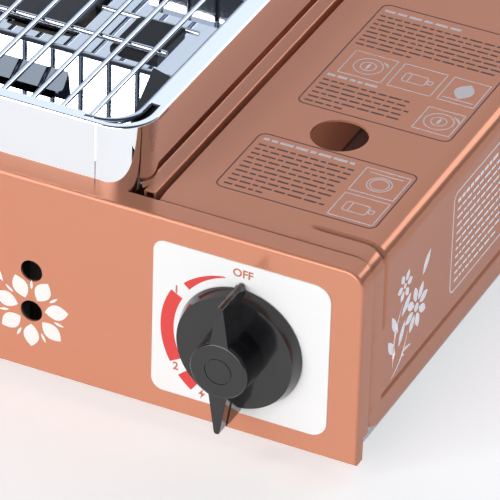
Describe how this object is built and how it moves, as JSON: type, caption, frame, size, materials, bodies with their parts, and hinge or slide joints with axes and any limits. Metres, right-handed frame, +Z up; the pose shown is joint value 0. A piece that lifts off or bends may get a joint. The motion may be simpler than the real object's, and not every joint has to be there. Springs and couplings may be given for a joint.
{
  "type": "tabletop gas grill",
  "caption": "Low tabletop gas grill with a folded copper casing, wire net in a bright wind skirt, infrared burner, drip tray, turning control knob and hinged cartridge lid",
  "frame": {"origin": "centre of the outline's bounding box, on the ground under the feet", "axes": "+X to the right along the width, +Y to the back away from the knob, +Z up"},
  "size_m": [0.396, 0.3016, 0.1228],
  "materials": {
    "copper_paint": "glossy metallic copper paint",
    "zinc_sheet": "zinc coated sheet",
    "rubber": "matt black",
    "bright_steel": "zinc plated",
    "white_plate": "satin white",
    "cast_alloy": "die cast, unpolished",
    "brass": "machined",
    "black_gloss": "glossy black",
    "black_plastic": "matt black",
    "magnet": "nickel plated",
    "lead_sleeve": "silicone sleeve",
    "white_ceramic": "glazed",
    "wire_steel": "polished round wire",
    "tube_steel": "drawn tube",
    "scaled_steel": "heat darkened",
    "tile_ceramic": "porous ceramic",
    "dark_plate": "dark oxide",
    "tray_chrome": "mirror polished",
    "skirt_chrome": "mirror polished",
    "black_enamel": "black enamel"
  },
  "bodies": {
    "casing": {"front_panel": "copper_paint", "rear_panel": "copper_paint", "left_side": "copper_paint", "base_pan": "zinc_sheet", "feet": "rubber", "base_screws": "bright_steel", "rear_screws": "bright_steel", "divider": "copper_paint", "bay_bulkhead": "zinc_sheet", "cartridge_cradle": "zinc_sheet", "hinge_brackets": "zinc_sheet", "hinge_pins": "bright_steel", "lid_bumpers": "rubber", "dial_plate": "white_plate", "valve_body": "cast_alloy", "regulator_cap": "cast_alloy", "regulator_screws": "bright_steel", "panel_nut": "brass", "cartridge_seat": "black_plastic", "seat_magnets": "magnet", "piezo_igniter": "black_plastic", "igniter_lead": "lead_sleeve", "electrode_ceramic": "white_ceramic", "electrode_tip": "wire_steel", "gas_pipe": "tube_steel", "injector": "brass", "injector_bracket": "zinc_sheet", "mixing_tube": "tube_steel", "burner_box": "scaled_steel", "ceramic_tiles": "tile_ceramic", "radiant_plate": "dark_plate", "burner_brackets": "zinc_sheet", "heat_shield": "zinc_sheet", "tray_supports": "zinc_sheet"},
    "lid": {"lid": "copper_paint"},
    "control": {"knob": "black_gloss", "valve_stem": "brass"},
    "pin": {"valve_pin": "brass"},
    "tray": {"drip_tray": "tray_chrome", "tray_ridge": "tray_chrome", "igniter_cover": "black_enamel", "cover_rivets": "tray_chrome"},
    "skirt": {"wind_skirt": "skirt_chrome", "net_brackets": "black_enamel", "bracket_rivets": "skirt_chrome"},
    "net": {"net_frame": "wire_steel", "net_bars": "wire_steel", "net_cross_wires": "wire_steel"}
  },
  "joints": [
    {"name": "knob_turn", "type": "hinge", "parent": "casing", "child": "control", "pos_m": [0.1483, -0.1308, 0.0465], "axis": [0, -1, 0], "range_deg": [0, 148]},
    {"name": "pin_slide", "type": "slide", "parent": "casing", "child": "pin", "axis": [0, 1, 0], "range_m": [0, 0.0012]},
    {"name": "lid_hinge", "type": "hinge", "parent": "casing", "child": "lid", "pos_m": [0.1105, -0.1193, 0.0885], "axis": [0, -1, 0], "range_deg": [0, 90]},
    {"name": "skirt_lift", "type": "slide", "parent": "casing", "child": "skirt", "axis": [0, 0, 1], "range_m": [0, 0.06]},
    {"name": "net_lift", "type": "slide", "parent": "skirt", "child": "net", "axis": [0, 0, 1], "range_m": [0, 0.04]},
    {"name": "tray_lift", "type": "slide", "parent": "casing", "child": "tray", "axis": [0, 0, 1], "range_m": [0, 0.007]}
  ],
  "couplings": [
    {"joint": "pin_slide", "follows": "knob_turn", "m_per_rad": 0.000465}
  ]
}
